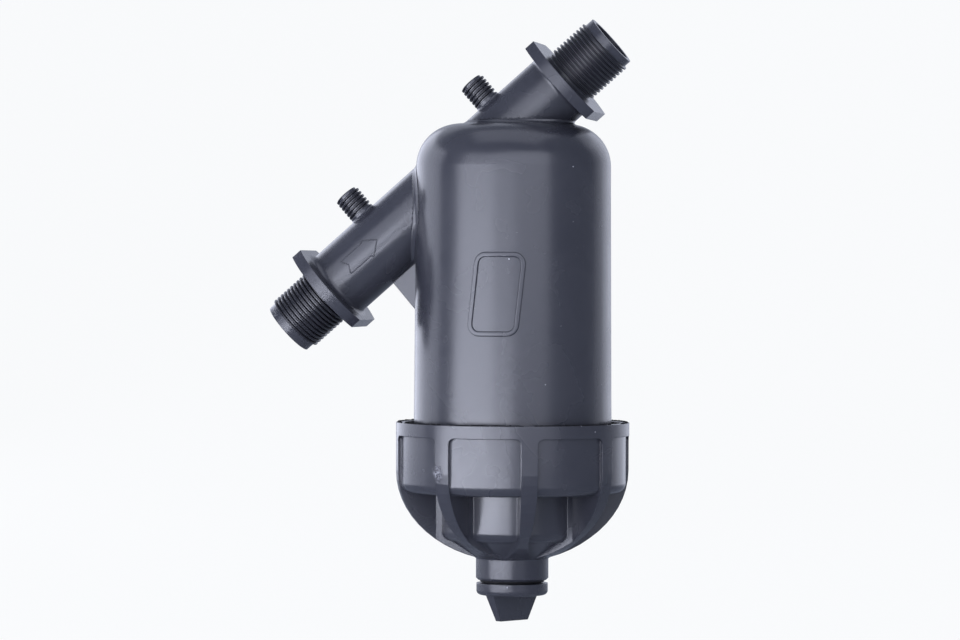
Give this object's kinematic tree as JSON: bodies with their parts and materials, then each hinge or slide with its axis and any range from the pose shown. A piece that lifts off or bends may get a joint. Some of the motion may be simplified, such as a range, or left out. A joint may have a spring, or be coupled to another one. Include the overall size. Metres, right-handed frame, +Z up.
{
  "type": "irrigation disc filter",
  "caption": "Slanted-pipe irrigation disc filter: domed plastic housing with threaded pipe ends and nipples, ribbed screw cap, winged drain plug and a stacked-disc cartridge inside.",
  "frame": {"origin": "centre of the inlet's open end, on the pipe axis", "axes": "+Z up along the axis of the body and cap, +X towards the outlet side, +Y away from the side with the panel"},
  "size_m": [0.1974, 0.126, 0.3242],
  "materials": {
    "black_plastic": "satin moulded black plastic",
    "seal_rubber": "dull black rubber",
    "disc_plastic": "red moulded plastic"
  },
  "bodies": {
    "housing": {"housing": "black_plastic", "spine": "black_plastic", "spine_seal": "seal_rubber", "filter_discs": "disc_plastic", "end_plate": "black_plastic", "clamp_nut": "black_plastic"},
    "cap_seal": {"cap_seal": "seal_rubber"},
    "cap": {"cap": "black_plastic"},
    "drain_seal": {"drain_seal": "seal_rubber"},
    "drain_plug": {"drain_plug": "black_plastic"}
  },
  "joints": [
    {"name": "cap_travel", "type": "slide", "parent": "housing", "child": "cap_seal", "axis": [0, 0, -1], "range_m": [0, 0.02001]},
    {"name": "cap_turn", "type": "hinge", "parent": "cap_seal", "child": "cap", "pos_m": [0.12426, 0, 0], "axis": [0, 0, -1], "range_deg": [0, 1440]},
    {"name": "plug_travel", "type": "slide", "parent": "cap", "child": "drain_seal", "axis": [0, 0, -1], "range_m": [0, 0.01201]},
    {"name": "plug_turn", "type": "hinge", "parent": "drain_seal", "child": "drain_plug", "pos_m": [0.12426, 0, 0], "axis": [0, 0, -1], "range_deg": [0, 1440]}
  ],
  "couplings": [
    {"joint": "cap_travel", "follows": "cap_turn", "m_per_rad": 0.00079577},
    {"joint": "plug_travel", "follows": "plug_turn", "m_per_rad": 0.00047746}
  ]
}
